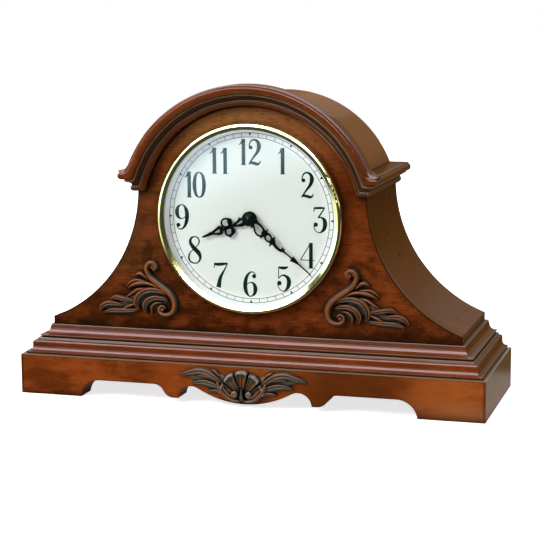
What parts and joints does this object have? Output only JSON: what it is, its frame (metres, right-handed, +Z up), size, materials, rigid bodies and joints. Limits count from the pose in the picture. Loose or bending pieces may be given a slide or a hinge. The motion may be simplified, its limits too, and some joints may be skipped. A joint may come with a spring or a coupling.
{
  "type": "tambour mantel clock",
  "caption": "Wooden tambour mantel clock with swept shoulders, arched cornice, carved scrolls, brass bezel, white dial, ornate black hands and a hinged back door.",
  "frame": {"origin": "centre of the footprint box, on the surface that the clock stands on", "axes": "+X to the right of someone facing the dial, +Y from the dial towards the back, +Z up"},
  "size_m": [0.44, 0.1544, 0.2915],
  "materials": {
    "cherry_wood": "satin lacquer over mottled cherry veneer",
    "plain_wood": "plain sealed board",
    "antique_carving": "dark antiqued carving with rubbed high points",
    "brass": "polished and lacquered",
    "glass": "clear convex",
    "dial_white": "satin white enamel with printed numbers",
    "black_hands": "gloss black",
    "black_plastic": "moulded, fine texture",
    "white_plastic": "moulded",
    "steel": "plated",
    "circuit_green": "solder mask",
    "cell_wrap": "printed wrap, bare",
    "speaker_paper": "pressed paper",
    "magnet_iron": "ferrite"
  },
  "bodies": {
    "case": {"apron_front": "cherry_wood", "apron_left": "cherry_wood", "apron_right": "cherry_wood", "lower_moulding_front": "cherry_wood", "lower_moulding_left": "cherry_wood", "lower_moulding_right": "cherry_wood", "upper_moulding_front": "cherry_wood", "upper_moulding_left": "cherry_wood", "upper_moulding_right": "cherry_wood", "front_board": "cherry_wood", "side_panel_left": "cherry_wood", "side_panel_right": "cherry_wood", "arch_top": "cherry_wood", "arch_moulding": "cherry_wood", "cornice_left": "cherry_wood", "cornice_right": "cherry_wood", "apron_rear": "plain_wood", "glue_blocks": "plain_wood", "rear_base_rail": "plain_wood", "base_board": "plain_wood", "back_frame": "plain_wood", "scroll_carving_left": "antique_carving", "scroll_carving_right": "antique_carving", "shell_carving": "antique_carving", "bezel": "brass", "mounting_nut": "brass", "hinge_leaves_frame": "brass", "hinge_pins": "brass", "frame_screws": "brass", "battery_contacts": "brass", "crystal": "glass", "dial": "dial_white", "movement_base": "black_plastic", "movement_cover": "black_plastic", "magnet_catch": "black_plastic", "motor_unit": "black_plastic", "movement_bridge": "white_plastic", "crystal_retainer": "steel", "bezel_screws": "steel", "movement_screws": "steel", "speaker_frame": "steel", "circuit_board": "circuit_green", "battery_cells": "cell_wrap", "speaker_cone": "speaker_paper", "speaker_magnet": "magnet_iron"},
    "minute_works": {"minute_arbor": "brass", "minute_hand": "black_hands", "hand_nut": "black_hands"},
    "hour_works": {"hour_wheel": "white_plastic", "hour_hand": "black_hands"},
    "minute_wheel_body": {"minute_wheel": "white_plastic"},
    "setting_knob": {"set_knob": "black_plastic"},
    "drive_gear": {"drive_pinion": "white_plastic"},
    "chime_slide": {"chime_selector": "black_plastic"},
    "volume_slide": {"volume_slider": "black_plastic"},
    "door": {"back_door": "plain_wood", "hinge_leaves_door": "brass", "door_knob": "brass", "strike_plate": "steel", "door_screws": "brass"}
  },
  "joints": [
    {"name": "minute_spin", "type": "hinge", "parent": "case", "child": "minute_works", "pos_m": [0, 0, 0.17], "axis": [0, 1, 0], "continuous": true},
    {"name": "hour_spin", "type": "hinge", "parent": "case", "child": "hour_works", "pos_m": [0, 0, 0.17], "axis": [0, 1, 0], "continuous": true},
    {"name": "minute_wheel_spin", "type": "hinge", "parent": "case", "child": "minute_wheel_body", "pos_m": [0.006, 0, 0.18039], "axis": [0, 1, 0], "continuous": true},
    {"name": "setting_knob_spin", "type": "hinge", "parent": "case", "child": "setting_knob", "pos_m": [0.012, 0, 0.19078], "axis": [0, 1, 0], "continuous": true},
    {"name": "drive_gear_spin", "type": "hinge", "parent": "case", "child": "drive_gear", "pos_m": [-0.01644, 0, 0.16401], "axis": [0, 1, 0], "continuous": true},
    {"name": "back_door_hinge", "type": "hinge", "parent": "case", "child": "door", "pos_m": [-0.0725, 0.06975, 0.13], "axis": [0, 0, 1], "range_deg": [0, 110]},
    {"name": "chime_select", "type": "slide", "parent": "case", "child": "chime_slide", "axis": [1, 0, 0], "range_m": [-0.0045, 0.0045]},
    {"name": "volume_set", "type": "slide", "parent": "case", "child": "volume_slide", "axis": [1, 0, 0], "range_m": [-0.0045, 0.0045]}
  ],
  "couplings": [
    {"joint": "hour_spin", "follows": "minute_spin", "ratio": 0.083333},
    {"joint": "minute_wheel_spin", "follows": "minute_spin", "ratio": -0.33333},
    {"joint": "setting_knob_spin", "follows": "minute_spin", "ratio": 1},
    {"joint": "drive_gear_spin", "follows": "minute_spin", "ratio": -6}
  ]
}
